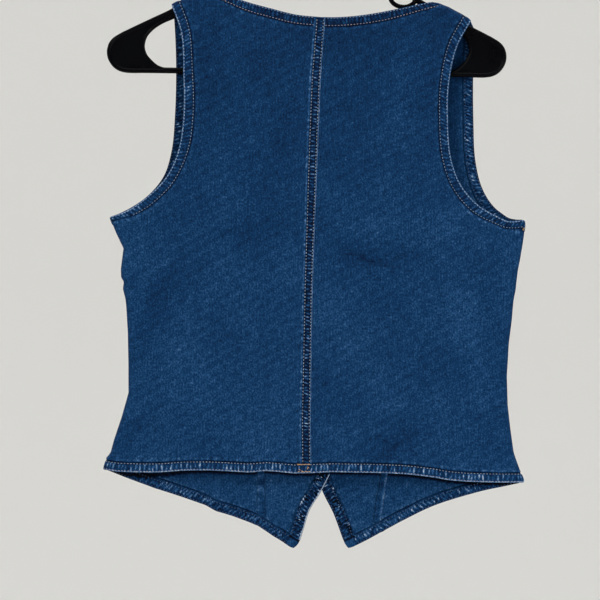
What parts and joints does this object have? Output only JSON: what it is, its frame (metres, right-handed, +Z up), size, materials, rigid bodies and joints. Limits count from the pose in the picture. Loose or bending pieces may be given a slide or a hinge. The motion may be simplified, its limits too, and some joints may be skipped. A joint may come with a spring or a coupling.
{
  "type": "denim vest on a clothes hanger",
  "caption": "Sleeveless denim waistcoat with pointed button fronts and a shaped back, hung flat on a plastic tube hanger.",
  "frame": {"origin": "inside top of the hanger's hook, where the rail holds it", "axes": "+Z up, the back of the waistcoat faces -Y and its fronts face +Y, +X is the wearer's right"},
  "size_m": [0.452, 0.039, 0.7078],
  "materials": {
    "denim": "washed indigo stretch denim twill",
    "denim_turned": "turned and stitched denim hems and seams, worn at the folds",
    "button_metal": "domed metal jeans buttons, satin",
    "hanger_plastic": "black moulded polystyrene, glossy"
  },
  "bodies": {
    "root": {"back_armhole_hem_left": "denim_turned", "back_armhole_hem_right": "denim_turned", "back_centre_seam": "denim_turned", "back_hem_left": "denim_turned", "back_hem_right": "denim_turned", "back_left": "denim", "back_neck_hem_left": "denim_turned", "back_neck_hem_right": "denim_turned", "back_right": "denim", "button_1": "button_metal", "button_2": "button_metal", "button_3": "button_metal", "button_4": "button_metal", "button_5": "button_metal", "dart_left": "denim_turned", "dart_right": "denim_turned", "front_armhole_hem_left": "denim_turned", "front_armhole_hem_right": "denim_turned", "front_edge_hem_left": "denim_turned", "front_edge_hem_right": "denim_turned", "front_hem_left": "denim_turned", "front_hem_right": "denim_turned", "front_left": "denim", "front_neck_hem_left": "denim_turned", "front_neck_hem_right": "denim_turned", "front_right": "denim", "hanger_bar_left": "hanger_plastic", "hanger_bar_right": "hanger_plastic", "hanger_end_left": "hanger_plastic", "hanger_end_right": "hanger_plastic", "hanger_hook": "hanger_plastic", "hanger_hub": "hanger_plastic", "hanger_lower_bar": "hanger_plastic", "hanger_strap_hook_left": "hanger_plastic", "hanger_strap_hook_right": "hanger_plastic"}
  },
  "joints": []
}
